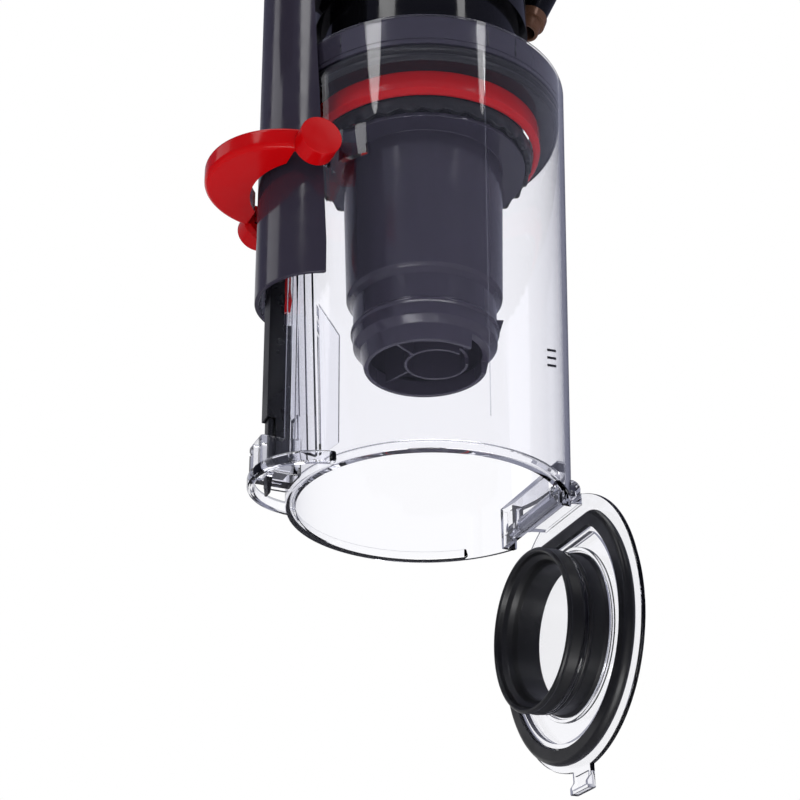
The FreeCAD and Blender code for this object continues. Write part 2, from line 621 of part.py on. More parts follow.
# ---- sleeve, neck and grip -------------------------------------------------------------------------
def duct_sleeve():
    shell = ring(ARCH_R, ARCH_R - ARCH_WALL, ARCH_Z, ARCH_TOP, ARCH_X)
    reach = 2 * ARCH_R
    side = math.radians(ARCH_HALF)
    tip_x, tip_y = ARCH_X - reach * math.cos(side), reach * math.sin(side)
    wedge = plate([(ARCH_X, 0), (tip_x, tip_y), (ARCH_X - 3 * reach, tip_y), (ARCH_X - 3 * reach, -tip_y),
                   (tip_x, -tip_y)], ARCH_Z - 1, ARCH_TOP + 1)
    shell = shell.common(wedge)
    return shell.cut(bin_cone(0.8, ARCH_Z - 2, ARCH_TOP + 2))


def main_neck():
    """Casing that joins sleeve, cyclone and motor, and carries the grip."""
    w = NECK_W / 2
    back = -MOTOR_R + 6
    block = box(NECK_X, back, -w, w, *NECK_Z)
    edges = [e for e in block.Edges if abs(e.Vertexes[0].X - NECK_X) < 0.1 and abs(e.Vertexes[1].X - NECK_X) < 0.1]
    block = block.makeFillet(8.0, edges)
    block = block.cut(cylinder(MOTOR_R + FIT, COVER_Z + COVER_H, MOTOR_TOP + 1))
    block = block.cut(cylinder(BODY_R + FIT, BODY_Z - 1, COVER_Z))
    t = NECK_WALL
    airway = box(NECK_X + t, -BODY_R - t, -w + t, w - t, NECK_Z[0] + t, BOARD_Z - 2 * t)
    inlet = cylinder(ARCH_R - ARCH_WALL, NECK_Z[0] - 1, NECK_Z[0] + t + 1, ARCH_X)
    inlet = inlet.common(box(NECK_X + t, -BODY_R - 2 * t, -w + t, w - t, NECK_Z[0] - 2, NECK_Z[0] + t + 2))
    outlet = box(-BODY_R - 2 * t, back + 1, -w + 3 * t, w - 3 * t, COVER_Z + t, COVER_Z + COVER_H - t)
    room = box(NECK_X + t, -MOTOR_R - t - 1, -w + t, w - t, BOARD_Z - t, NECK_Z[1] - t)
    block = block.cut([airway, inlet, outlet, room])
    window = box(BUTTON_X[0], BUTTON_X[1], -BUTTON_W / 2 - FIT, BUTTON_W / 2 + FIT, NECK_Z[1] - 5, NECK_Z[1] + 1)
    return block.cut(window).removeSplitter()


def grip_blank(grow=0.0, x0=GRIP_END, x1=NECK_X):
    w, h = GRIP_W / 2 + grow, GRIP_H / 2 + grow
    loop = Part.Ellipse(V(x0, 0, GRIP_Z + h), V(x0, w, GRIP_Z), V(x0, 0, GRIP_Z))
    return Part.Face(Part.Wire(loop.toShape())).extrude(V(x1 - x0, 0, 0))


def trigger_slot():
    return box(TRIGGER_X[0] - 2.5, TRIGGER_X[1] + 0.5, -TRIGGER_W / 2 - 0.4, TRIGGER_W / 2 + 0.4,
               GRIP_Z - GRIP_H / 2 - 30, GRIP_Z - 2)


def axle_place():
    """Centre (x, z) of the trigger's axle."""
    return TRIGGER_X[1] - 3, GRIP_Z - 9


def screw_places():
    return NECK_X - 34, GRIP_END + 22


def grip_half(side):
    shell = grip_blank().cut(grip_blank(-GRIP_WALL))
    shell = shell.cut(trigger_slot())
    bosses = []
    for x in screw_places():
        boss = across(3.6, -GRIP_W / 2 + 0.6, GRIP_W / 2 - 0.6, x, GRIP_Z)
        bosses.append(boss.common(grip_blank(-0.5)))
    shell = shell.fuse(bosses)
    for x in screw_places():
        shell = shell.cut(across(1.5, -HALF, HALF, x, GRIP_Z))
        shell = shell.cut(across(3.0, -HALF, -GRIP_W / 2 + 4.2, x, GRIP_Z))
    x, z = axle_place()
    for end in (-1, 1):
        y0 = TRIGGER_W / 2 + 0.5 if end > 0 else -HALF
        eye = across(AXLE_R + 2, y0, y0 + HALF - TRIGGER_W / 2 - 0.5, x, z).common(grip_blank(-0.5))
        shell = shell.fuse(eye)
    shell = shell.cut(across(AXLE_R + RUN, -AXLE_HALF - FIT, AXLE_HALF + FIT, x, z))
    keep = box(GRIP_END - 1, NECK_X + 1, 0 if side > 0 else -HALF, HALF if side > 0 else 0, GRIP_Z - 2 * GRIP_H, GRIP_Z + 2 * GRIP_H)
    return shell.common(keep).removeSplitter()


def grip_screws():
    screws = []
    for x in screw_places():
        shank = across(1.45, -GRIP_W / 2 + 4.0, 8.0, x, GRIP_Z)
        head = across(2.7, -GRIP_W / 2 + 2.2, -GRIP_W / 2 + 4.2, x, GRIP_Z)
        screws.append(shank.fuse(head).removeSplitter())
    return Part.Compound(screws)


def trigger():
    x0, x1 = TRIGGER_X
    top = GRIP_Z - 6
    low = GRIP_Z - GRIP_H / 2 - TRIGGER_DROP
    outline = [(x0, top), (x1, top), (x1, low + 4), (x1 - 3, low), (x1 - 8, low + 3), (x0 + 3, low + 12),
               (x0, low + 16)]
    body = prism(outline, -TRIGGER_W / 2, TRIGGER_W / 2)
    return body.fuse(across(AXLE_R, -AXLE_HALF, AXLE_HALF, *axle_place())).removeSplitter()


def trigger_switch():
    x0 = TRIGGER_X[0] - 3
    return box(x0 - 14, x0 - 1, -5, 5, GRIP_Z - 12, GRIP_Z - 4)


def mode_button():
    x = (BUTTON_X[0] + BUTTON_X[1]) / 2
    cap = box(BUTTON_X[0] + FIT, BUTTON_X[1] - FIT, -BUTTON_W / 2, BUTTON_W / 2, NECK_Z[1] - 2.5, NECK_Z[1] + 1.2)
    return cap.fuse(cylinder(2.0, NECK_Z[1] - 9, NECK_Z[1] - 2.5, x)).removeSplitter()


def circuit_board():
    side = NECK_W / 2 - NECK_WALL - FIT
    x0, x1 = NECK_X + NECK_WALL + FIT, -MOTOR_R - NECK_WALL - 1 - FIT
    board = box(x0, x1, -side, side, BOARD_Z, BOARD_Z + BOARD_T)
    low, high = BOARD_Z + BOARD_T, BOARD_Z + BOARD_T + CHIP[2]
    rows = (x0 + CHIP[0] / 3, x1 - 1.5 * CHIP[0])
    chips = [box(x, x + CHIP[0], y, y + CHIP[1], low, high) for x in rows for y in (-2 * CHIP[1], CHIP[1])]
    lugs = box(x0, x1, -side, side, BOARD_Z - NECK_WALL, BOARD_Z).cut(
        box(x0 + 2, x1 - 2, -side + 2, side - 2, BOARD_Z - NECK_WALL - 1, BOARD_Z + 1))
    return board.fuse(chips + [lugs]).removeSplitter()


# ---- battery ---------------------------------------------------------------------------------------
def battery_case():
    x1 = GRIP_END - FIT
    x0 = x1 - BATTERY_L
    z0, z1 = GRIP_Z - BATTERY_H / 2, GRIP_Z + BATTERY_H / 2
    case = box(x0, x1, -BATTERY_W / 2, BATTERY_W / 2, z0, z1)
    case = case.makeFillet(6.0, [e for e in case.Edges if abs(e.Vertexes[0].X - x0) < 0.1
                                 and abs(e.Vertexes[1].X - x0) < 0.1])
    side = BATTERY_W / 2 - BATTERY_WALL
    room = box(x0 + BATTERY_WALL, x1 - BATTERY_BACK, -side, side, z0 + BATTERY_WALL, z1 - BATTERY_WALL)
    case = case.cut(room)
    plug = grip_blank(-GRIP_WALL - FIT, x1 - 2, x1 + PLUG_L)
    case = case.fuse(plug)
    socket = Part.makeCylinder(SOCKET_R, SOCKET_L + 1, V(x0 + BATTERY_L / 2, 0, z0 - 1))
    wall = Part.makeCylinder(SOCKET_R + 2, SOCKET_L + 1.5, V(x0 + BATTERY_L / 2, 0, z0))
    half = LATCH_W / 2 + FIT
    latch_seat = box(x1 - LATCH_X[1], x1 - LATCH_X[0], -half, half, z1 - LATCH_T - FIT, z1 + 1)
    return case.fuse(wall).cut(socket).cut(latch_seat).removeSplitter()


def battery_cells():
    x1 = GRIP_END - FIT
    middle = x1 - BATTERY_BACK - (BATTERY_L - BATTERY_WALL - BATTERY_BACK) / 2
    top = GRIP_Z + BATTERY_H / 2 - 6
    pitch = CELL_R + 0.2
    cells = []
    for x in (middle - pitch, middle + pitch):
        for y in (-2 * pitch, 0, 2 * pitch):
            cells.append(cylinder(CELL_R, top - CELL_L, top, x, y))
    return Part.Compound(cells)


def battery_latch():
    x1 = GRIP_END - FIT
    z1 = GRIP_Z + BATTERY_H / 2
    half = LATCH_W / 2
    return box(x1 - LATCH_X[1] + FIT, x1 - LATCH_X[0] - FIT, -half, half, z1 - LATCH_T, z1 + 1.5)


# ---- all nodes -------------------------------------------------------------------------------------
def nodes():
    parts = {
        "clear_bin": clear_bin(), "collar_band": collar_band(), "collar_seal": collar_seal(),
        "red_ring": red_ring(), "shroud_wiper": shroud_wiper(), "bin_runner": bin_runner(),
        "pushrod": pushrod(), "runner_catch": runner_catch(), "release_lever": release_lever(),
        "hinge_pin": hinge_pin(),
        "lid": opened(lid()), "lid_seal": opened(lid_seal()), "lid_gasket": opened(lid_gasket()),
        "shroud_collector": shroud_collector(), "shroud_mesh": shroud_mesh(), "cyclone_body": cyclone_body(),
        "cyclone_cover": cyclone_cover(), "motor_housing": motor_housing(), "motor_bucket": motor_bucket(),
        "motor_stator": motor_stator(), "motor_bearings": motor_bearings(), "rotor_shaft": rotor_shaft(),
        "impeller": impeller(), "filter_cap": filter_cap(), "filter_media": filter_media(),
        "duct_sleeve": duct_sleeve(), "main_neck": main_neck(), "grip_left": grip_half(1),
        "grip_right": grip_half(-1), "grip_screws": grip_screws(), "trigger": trigger(),
        "trigger_switch": trigger_switch(), "mode_button": mode_button(),
        "circuit_board": circuit_board(), "battery_case": battery_case(), "battery_cells": battery_cells(),
        "battery_latch": battery_latch(),
    }
    for i, angle in enumerate(CONE_ANGLES, 1):
        parts["cyclone_cone_%d" % i] = cyclone_cone(angle)
        parts["cyclone_tip_%d" % i] = cyclone_tip(angle)
    return parts


os.makedirs("parts", exist_ok=True)
for name, shape in nodes().items():
    shape.translate(ORIGIN * -1)
    shape.exportStep("parts/%s.step" % name)
    print(name, "solids", len(shape.Solids), "volume %.0f" % shape.Volume, "valid", shape.isValid())
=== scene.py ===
import bpy
import bmesh
import json
import math
from mathutils import Matrix, Vector


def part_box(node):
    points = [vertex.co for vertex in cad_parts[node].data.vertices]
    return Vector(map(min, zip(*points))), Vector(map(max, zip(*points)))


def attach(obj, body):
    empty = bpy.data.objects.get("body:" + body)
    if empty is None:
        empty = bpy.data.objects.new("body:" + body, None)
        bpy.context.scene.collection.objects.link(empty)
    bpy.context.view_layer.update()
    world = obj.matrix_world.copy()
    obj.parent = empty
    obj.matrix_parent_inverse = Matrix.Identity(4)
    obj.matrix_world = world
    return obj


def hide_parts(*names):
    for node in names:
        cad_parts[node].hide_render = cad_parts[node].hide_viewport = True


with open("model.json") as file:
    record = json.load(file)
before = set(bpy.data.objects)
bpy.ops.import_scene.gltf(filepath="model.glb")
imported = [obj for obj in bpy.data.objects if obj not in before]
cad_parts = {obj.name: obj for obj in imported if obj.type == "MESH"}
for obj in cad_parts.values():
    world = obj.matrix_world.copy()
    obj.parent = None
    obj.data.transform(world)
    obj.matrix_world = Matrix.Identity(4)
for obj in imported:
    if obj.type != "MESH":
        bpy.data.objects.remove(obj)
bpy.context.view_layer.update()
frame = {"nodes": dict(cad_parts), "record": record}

# Camera, below the open end of the bin and looking up at the machine as it hangs, with a long lens.
camera = bpy.data.objects.new("camera", bpy.data.cameras.new("camera"))
bpy.context.scene.collection.objects.link(camera)
camera.data.lens = 81.0
camera.data.sensor_width = 36.0
camera.matrix_world = (Matrix.Translation((-0.1601, -0.6218, -0.6327))
                       @ Matrix.Rotation(math.radians(-23.466), 4, "Z")
                       @ Matrix.Rotation(math.radians(117.06), 4, "X")
                       @ Matrix.Rotation(math.radians(-0.567), 4, "Z"))
bpy.context.scene.camera = camera
bpy.context.scene.view_settings.view_transform = "Standard"


# Studio: tall soft boxes, a top light, a pale floor under the hanging machine, and a white surround. Gloss and
# clear plastic see the white surround too, dimmer towards the unlit front of the room and its ceiling.
def add(tree, kind, inputs=(), **settings):
    """Adds one shader node. An input's value is a constant, or the socket that feeds it."""
    made = tree.nodes.new("ShaderNode" + kind)
    for name, value in settings.items():
        setattr(made, name, value)
    for name, value in dict(inputs).items():
        if isinstance(value, bpy.types.NodeSocket):
            tree.links.new(value, made.inputs[name])
        else:
            made.inputs[name].default_value = value
    return made


def linear(code):
    """The linear colour of an sRGB hex value."""
    parts = [int(code[i:i + 2], 16) / 255 for i in (1, 3, 5)]
    return [c / 12.92 if c <= 0.04045 else ((c + 0.055) / 1.055) ** 2.4 for c in parts] + [1.0]


def soft_box(name, heading, rise, away, width, height, brightness):
    """Oval soft box at a compass heading and a rise in degrees, as bright as a white wall times the brightness."""
    lamp = bpy.data.lights.new(name, "AREA")
    lamp.shape = "ELLIPSE"
    lamp.size = width
    lamp.size_y = height
    lamp.energy = brightness * math.pi * (math.pi / 4 * width * height)
    made = bpy.data.objects.new(name, lamp)
    flat = math.cos(math.radians(rise))
    offset = Vector((flat * math.cos(math.radians(heading)), flat * math.sin(math.radians(heading)),
                     math.sin(math.radians(rise)))) * away
    made.location = Vector((0.11, 0.0, -0.2)) + offset
    made.rotation_euler = (-offset).to_track_quat("-Z", "Y").to_euler()
    bpy.context.scene.collection.objects.link(made)


soft_box("left_soft_box", -150, 47, 1.6, 0.42, 0.85, 3.6)
soft_box("right_soft_box", -66, 46, 1.6, 0.24, 0.8, 3.6)
soft_box("rear_left_soft_box", 154, 32, 1.7, 0.7, 0.9, 1.0)
soft_box("top_soft_box", 60, 84, 1.4, 1.0, 1.0, 2.0)
soft_box("low_front_soft_box", -110, -22, 1.6, 0.9, 0.4, 0.8)
soft_box("floor_panel", -103, -70, 0.52, 0.5, 0.12, 6.0)

world = bpy.data.worlds.new("white_surround")
bpy.context.scene.world = world
world.use_nodes = True
sky = world.node_tree
sky.nodes.clear()
heading = add(sky, "TexCoord")
heading = add(sky, "SeparateXYZ", {"Vector": heading.outputs["Generated"]})
front = add(sky, "MapRange", {"Value": heading.outputs["Y"], "From Min": 0.99, "From Max": 0.75},
            interpolation_type="SMOOTHSTEP")
ceiling = add(sky, "MapRange", {"Value": heading.outputs["Z"], "From Min": 0.72, "From Max": 0.92},
              interpolation_type="SMOOTHSTEP")
unlit = add(sky, "Math", {0: front.outputs[0], 1: ceiling.outputs[0]}, operation="MAXIMUM")
ambient = add(sky, "Background", {"Color": linear("#f4f6fa"), "Strength": 0.66})
white = add(sky, "Background", {"Color": (1, 1, 1, 1), "Strength": 1.0})
seen_through = add(sky, "Background", {"Color": (1, 1, 1, 1), "Strength": 1.06})
room = add(sky, "Background", {"Color": linear("#55566a"), "Strength": 1.0})
shade = add(sky, "Background", {"Color": linear("#9092a2"), "Strength": 1.0})
ray = add(sky, "LightPath")
inside = add(sky, "Math", {0: ray.outputs["Transmission Depth"], 1: 0.5}, operation="GREATER_THAN")
dark = add(sky, "MixShader", {0: inside.outputs[0], 1: room.outputs[0], 2: shade.outputs[0]})
mirrored = add(sky, "MixShader", {0: unlit.outputs[0], 1: white.outputs[0], 2: dark.outputs[0]})
refracted = add(sky, "MixShader", {0: ceiling.outputs[0], 1: seen_through.outputs[0], 2: shade.outputs[0]})
bounced = add(sky, "Math", {0: ray.outputs["Glossy Depth"], 1: 0.5}, operation="GREATER_THAN")
surround = add(sky, "MixShader", {0: ray.outputs["Is Transmission Ray"], 1: ambient.outputs[0],
                                  2: refracted.outputs[0]})
surround = add(sky, "MixShader", {0: bounced.outputs[0], 1: surround.outputs[0], 2: mirrored.outputs[0]})
surround = add(sky, "MixShader", {0: ray.outputs["Is Camera Ray"], 1: surround.outputs[0], 2: white.outputs[0]})
add(sky, "OutputWorld", {"Surface": surround.outputs[0]})

floor_mesh = bpy.data.meshes.new("studio_floor")
bm = bmesh.new()
bmesh.ops.create_grid(bm, x_segments=1, y_segments=1, size=4)
bmesh.ops.translate(bm, vec=(0, 0, -0.72), verts=bm.verts)
bm.to_mesh(floor_mesh)
bm.free()
studio_floor = bpy.data.objects.new("studio_floor", floor_mesh)
bpy.context.scene.collection.objects.link(studio_floor)
paint = bpy.data.materials.new("matt_white_floor_paint")
paint.use_nodes = True
paint.node_tree.nodes.clear()
coat = add(paint.node_tree, "BsdfPrincipled", {"Base Color": linear("#eeeeee"), "Roughness": 0.8})
add(paint.node_tree, "OutputMaterial", {"Surface": coat.outputs[0]})
floor_mesh.materials.append(paint)


# Clear bin: one injection moulding in polycarbonate, slightly conical, with a thick rim, six guide rails, a hoop and
# a box that hold the foot of the runner, two faceted lugs for the lever, an inner fin and two hinge knuckles.
# Everything is drawn in millimetres, with the bin's axis as Z and the bin's rim as height 0.
MM = 0.001
ring_low, ring_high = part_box("red_ring")
bin_foot = Vector(((ring_low.x + ring_high.x) / 2, (ring_low.y + ring_high.y) / 2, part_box("clear_bin")[0].z))
in_bin = Matrix.Translation(bin_foot) @ Matrix.Scale(MM, 4)


def turned(outline, soft=0.3, steps=192, arc=360, start=0):
    """Closed (radius, height) outline with rounded corners, turned round Z."""
    bm = bmesh.new()
    corners = [bm.verts.new((r, 0, z)) for r, z in outline]
    face = bm.faces.new(corners)
    outer = [v for v in corners if v.co.x > 0]
    if soft:
        bmesh.ops.bevel(bm, geom=outer, offset=soft, offset_type="OFFSET", segments=3, profile=0.5,
                        affect="VERTICES", clamp_overlap=True, material=-1)
    if arc == 360:
        bmesh.ops.delete(bm, geom=list(bm.faces), context="FACES_ONLY")
    bmesh.ops.rotate(bm, cent=(0, 0, 0), matrix=Matrix.Rotation(math.radians(start), 3, "Z"), verts=bm.verts)
    bmesh.ops.spin(bm, geom=bm.verts[:] + bm.edges[:] + bm.faces[:], cent=(0, 0, 0), axis=(0, 0, 1),
                   angle=math.radians(arc), steps=steps, use_merge=arc == 360)
    bmesh.ops.remove_doubles(bm, verts=bm.verts, dist=0.0005)
    bmesh.ops.recalc_face_normals(bm, faces=bm.faces)
    return bm


def block(x0, x1, y0, y1, z0, z1, soft=0.0, segments=3):
    """Box with rounded edges."""
    bm = bmesh.new()
    bmesh.ops.create_cube(bm, size=1)
    bmesh.ops.scale(bm, vec=(x1 - x0, y1 - y0, z1 - z0), verts=bm.verts)
    bmesh.ops.translate(bm, vec=((x0 + x1) / 2, (y0 + y1) / 2, (z0 + z1) / 2), verts=bm.verts)
    if soft:
        bmesh.ops.bevel(bm, geom=bm.edges[:], offset=soft, segments=segments, profile=0.5, affect="EDGES",
                        clamp_overlap=True, material=-1)
    return bm


def slab(outline, y0, y1, soft=0.0, segments=2):
    """Flat (x, z) outline made as thick as the run from y0 to y1, with rounded edges."""
    bm = bmesh.new()
    face = bm.faces.new([bm.verts.new((x, y0, z)) for x, z in outline])
    top = bmesh.ops.extrude_face_region(bm, geom=[face])["geom"]
    bmesh.ops.translate(bm, vec=(0, y1 - y0, 0), verts=[v for v in top if isinstance(v, bmesh.types.BMVert)])
    bmesh.ops.recalc_face_normals(bm, faces=bm.faces)
    if soft:
        bmesh.ops.bevel(bm, geom=bm.edges[:], offset=soft, segments=segments, profile=0.5, affect="EDGES",
                        clamp_overlap=True, material=-1)
    return bm


def placed(bm, matrix):
    bmesh.ops.transform(bm, matrix=matrix, verts=bm.verts)
    return bm


def lying(bm, x, z):
    """Turns a piece drawn on Z so that it lies along Y, through the point (x, z)."""
    return placed(bm, Matrix.Translation((x, 0, z)) @ Matrix.Rotation(math.radians(-90), 4, "X"))


def carved(base, tools, operation="DIFFERENCE"):
    """The base mesh with each tool cut out of it, joined to it, or kept in common with it."""
    shapes = []
    for bm in [base] + tools:
        mesh = bpy.data.meshes.new("blank")
        bm.to_mesh(mesh)
        bm.free()
        shapes.append(bpy.data.objects.new("blank", mesh))
        bpy.context.scene.collection.objects.link(shapes[-1])
    for tool in shapes[1:]:
        step = shapes[0].modifiers.new("carve", "BOOLEAN")
        step.operation = operation
        step.solver = "EXACT"
        step.object = tool
    result = bmesh.new()
    result.from_object(shapes[0], bpy.context.evaluated_depsgraph_get())
    for shape in shapes:
        bpy.data.meshes.remove(shape.data)
    bmesh.ops.remove_doubles(result, verts=result.verts, dist=0.001)
    bmesh.ops.dissolve_degenerate(result, edges=result.edges, dist=0.001)
    return result


def piece(name, bm, body, finish, replaced=(), place=None, sharp=35):
    """Makes the object of a mesh in millimetres, puts it in place, parents it to the body it rides on and hides the
    CAD parts it stands for.
    """
    bmesh.ops.transform(bm, matrix=in_bin if place is None else place, verts=bm.verts)
    for edge in bm.edges:
        edge.smooth = edge.calc_face_angle(0) < math.radians(sharp)
    for face in bm.faces:
        face.smooth = True
    mesh = bpy.data.meshes.new(name)
    bm.to_mesh(mesh)
    bm.free()
    mesh.materials.append(finish)
    made = bpy.data.objects.new(name, mesh)
    bpy.context.scene.collection.objects.link(made)
    even = made.modifiers.new("even_shading", "WEIGHTED_NORMAL")
    even.keep_sharp = True
    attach(made, body)
    if replaced:
        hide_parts(*replaced)
    return made


clear = bpy.data.materials.new("clear_polycarbonate")
clear.use_nodes = True
tree = clear.node_tree
tree.nodes.clear()
place = add(tree, "TexCoord")
flow = add(tree, "TexNoise", {"Vector": place.outputs["Object"], "Scale": 1 / (30 * MM), "Detail": 1.0})
ripple = add(tree, "Bump", {"Height": flow.outputs["Fac"], "Strength": 0.04, "Distance": 0.4 * MM})
resin = add(tree, "BsdfPrincipled", {"Base Color": linear("#fcfcff"), "Roughness": 0.01, "IOR": 1.46,
                                     "Transmission Weight": 1.0, "Normal": ripple.outputs["Normal"]})
through = add(tree, "BsdfTransparent", {"Color": linear("#eeeff4")})
ray = add(tree, "LightPath")
lit = add(tree, "MixShader", {0: ray.outputs["Is Shadow Ray"], 1: resin.outputs[0], 2: through.outputs[0]})
add(tree, "OutputMaterial", {"Surface": lit.outputs[0]})

bin_rim, bin_top, bin_height, bin_wall = 59.0, 65.9, 205.0, 2.0
hinge_x, hinge_z = 54.6, 8.6


def bin_cone(offset, low, high, soft=0.0):
    """Solid that follows the conical wall."""
    grow = (bin_top - bin_rim) / bin_height
    return turned([(0, low), (bin_rim + offset + grow * low, low), (bin_rim + offset + grow * high, high), (0, high)],
                  soft)


rails = [block(-65.6, -52, y - 0.8, y + 0.8, 6, 160, 0.35, 2) for y in (-18, -12, -6, 6, 12, 18)]
hoop = placed(turned([(25.4, 0), (28.5, 0), (28.5, 5.6), (25.4, 5.6)], 1.5), Matrix.Translation((-49, 0, 0)))
runner_box = block(-76, -58, -7.4, 7.4, 2, 18, 1.1)
lugs = []
for side in (-1, 1):
    cheek = slab([(-50, 134), (-64.6, 140), (-69.6, 140.4), (-69.6, 146), (-62.6, 156), (-50, 156)], 28.3 * side,
                 29.9 * side, 0.35)
    foot = placed(slab([(-50, 28.3), (-54, 28.3), (-54, 36), (-50.5, 40.6), (-45, 45.6), (-40, 44)], 136, 154, 1.3, 1),
                  Matrix(((1, 0, 0, 0), (0, 0, side, 0), (0, 1, 0, 0), (0, 0, 0, 1))))
    pin = lying(turned([(0, 28.9 * side), (2.9, 28.9 * side), (2.9, 39.9 * side), (0, 39.9 * side)], 0.3, 48),
                -64.6, 143)
    lugs += [cheek, foot, pin]
for bm in lugs:
    bmesh.ops.recalc_face_normals(bm, faces=bm.faces)
fin = placed(slab([(-58.4, 5), (-60.6, 76), (-48.4, 64), (-48.4, 15)], -0.75, 0.75, 0.3),
             Matrix.Rotation(math.radians(19), 4, "Z"))
bead = carved(turned([(54.4, 0), (58.2, 0), (58.2, 4.5), (55.9, 4.5)], 0.9), [block(37, 70, -70, 70, -5, 10)])
pocket = carved(block(47, 70, -27, 27, 0, 19, 0.4), [bin_cone(-0.2, -5, 30)], "INTERSECT")
knuckles = []
for low, high in ((-25, -17), (17, 25)):
    knuckles.append(lying(turned([(0, low), (4, low), (4, high), (0, high)], 0.6, 48), hinge_x, hinge_z))
    knuckles.append(block(47.5, hinge_x, low, high, 5.6, 17.5, 0.6))

wall = carved(bin_cone(0, 0, bin_height, 0.7), rails + [hoop, runner_box] + lugs, "UNION")
wall = carved(wall, [bin_cone(-bin_wall, -1, bin_height + 1), block(-72.6, -58.5, -3.8, 3.8, 6.7, 30),
                     block(-71.6, -68.6, -2.6, 2.6, -5, 30)])
wall = carved(wall, [bead, fin, pocket], "UNION")
wall = carved(wall, [block(49, 80, -25, 25, -5, 17)])
wall = carved(wall, knuckles, "UNION")
wall = carved(wall, [lying(turned([(0, -60), (1.65, -60), (1.65, 60), (0, 60)], 0, 32), hinge_x, hinge_z)])
piece("bin_wall", wall, "bin", clear, ["clear_bin"], sharp=28)


# Parting line of the bin's mould: a fine raised ridge up the side of the wall, in the same clear plastic.
seam = block(59.0, 59.25, -0.14, 0.14, 16, 190)
for v in seam.verts:
    v.co.x += (bin_top - bin_rim) / bin_height * v.co.z
placed(seam, Matrix.Rotation(math.radians(-89.5), 4, "Z"))
piece("mould_line", seam, "bin", clear)


# Level marks: three slanted bars, raised on the outside of the wall and painted black.
black = bpy.data.materials.new("satin_black_abs")
black.use_nodes = True
tree = black.node_tree
tree.nodes.clear()
place = add(tree, "TexCoord")
spark = add(tree, "TexNoise", {"Vector": place.outputs["Object"], "Scale": 1 / (0.5 * MM), "Detail": 2.0})
grain = add(tree, "Bump", {"Height": spark.outputs["Fac"], "Strength": 0.12, "Distance": 0.05 * MM})
worn = add(tree, "TexNoise", {"Vector": place.outputs["Object"], "Scale": 1 / (14 * MM), "Detail": 3.0})
satin = add(tree, "MapRange", {"Value": worn.outputs["Fac"], "From Min": 0.35, "From Max": 0.7, "To Min": 0.24,
                               "To Max": 0.36})
black_skin = add(tree, "BsdfPrincipled", {"Base Color": linear("#101013"), "Roughness": satin.outputs[0],
                                          "IOR": 1.5, "Normal": grain.outputs["Normal"]})
add(tree, "OutputMaterial", {"Surface": black_skin.outputs[0]})

marks = bmesh.new()
for z in (49.5, 53, 56.5):
    bar = block(60.4, 61.05, -3.8, 3.8, -0.5, 0.5, 0.1, 1)
    bmesh.ops.rotate(bar, cent=(0, 0, 0), matrix=Matrix.Rotation(math.radians(20), 3, "X"), verts=bar.verts)
    placed(bar, Matrix.Rotation(math.radians(-56), 4, "Z") @ Matrix.Translation((0.04 * (z - 53), 0, z)))
    mesh = bpy.data.meshes.new("bar")
    bar.to_mesh(mesh)
    bar.free()
    marks.from_mesh(mesh)
    bpy.data.meshes.remove(mesh)
piece("level_marks", marks, "bin", black)


# Collar at the top of the bin: a plain purple-grey band with a fine groove, a black two-ribbed seal, a glossy black
# plate under it, the red ring, and a rubber skirt whose scalloped edge wipes the shroud. All are moulded rings.
plum = bpy.data.materials.new("polished_plum_abs")
plum.use_nodes = True
tree = plum.node_tree
tree.nodes.clear()
place = add(tree, "TexCoord")
sink = add(tree, "TexNoise", {"Vector": place.outputs["Object"], "Scale": 1 / (45 * MM), "Detail": 1.0})
wave = add(tree, "Bump", {"Height": sink.outputs["Fac"], "Strength": 0.05, "Distance": 0.8 * MM})
film = add(tree, "TexNoise", {"Vector": place.outputs["Object"], "Scale": 1 / (9 * MM), "Detail": 4.0})
haze = add(tree, "MapRange", {"Value": film.outputs["Fac"], "From Min": 0.35, "From Max": 0.7, "To Min": 0.09,
                              "To Max": 0.2})
abs_gloss = add(tree, "BsdfPrincipled", {"Base Color": linear("#34303d"), "Roughness": haze.outputs[0], "IOR": 1.5,
                                         "Normal": wave.outputs["Normal"]})
add(tree, "OutputMaterial", {"Surface": abs_gloss.outputs[0]})

red = bpy.data.materials.new("glossy_red_abs")
red.use_nodes = True
tree = red.node_tree
tree.nodes.clear()
place = add(tree, "TexCoord")
film = add(tree, "TexNoise", {"Vector": place.outputs["Object"], "Scale": 1 / (8 * MM), "Detail": 3.0})
haze = add(tree, "MapRange", {"Value": film.outputs["Fac"], "From Min": 0.35, "From Max": 0.7, "To Min": 0.1,
                              "To Max": 0.2})
red_gloss = add(tree, "BsdfPrincipled", {"Base Color": linear("#c4050a"), "Roughness": haze.outputs[0], "IOR": 1.3})
add(tree, "OutputMaterial", {"Surface": red_gloss.outputs[0]})

rubber = bpy.data.materials.new("black_moulded_rubber")
rubber.use_nodes = True
tree = rubber.node_tree
tree.nodes.clear()
place = add(tree, "TexCoord")
talc = add(tree, "TexNoise", {"Vector": place.outputs["Object"], "Scale": 1 / (0.9 * MM), "Detail": 3.0})
speck = add(tree, "MapRange", {"Value": talc.outputs["Fac"], "From Min": 0.66, "From Max": 0.74})
skin = add(tree, "Mix", {0: speck.outputs[0], 6: linear("#0c0c0e"), 7: linear("#202023")}, data_type="RGBA")
bloom = add(tree, "TexNoise", {"Vector": place.outputs["Object"], "Scale": 1 / (11 * MM), "Detail": 3.0})
dull = add(tree, "MapRange", {"Value": bloom.outputs["Fac"], "From Min": 0.35, "From Max": 0.7, "To Min": 0.3,
                              "To Max": 0.46})
rubber_skin = add(tree, "BsdfPrincipled", {"Base Color": skin.outputs[2], "Roughness": dull.outputs[0],
                                           "IOR": 1.5})
add(tree, "OutputMaterial", {"Surface": rubber_skin.outputs[0]})

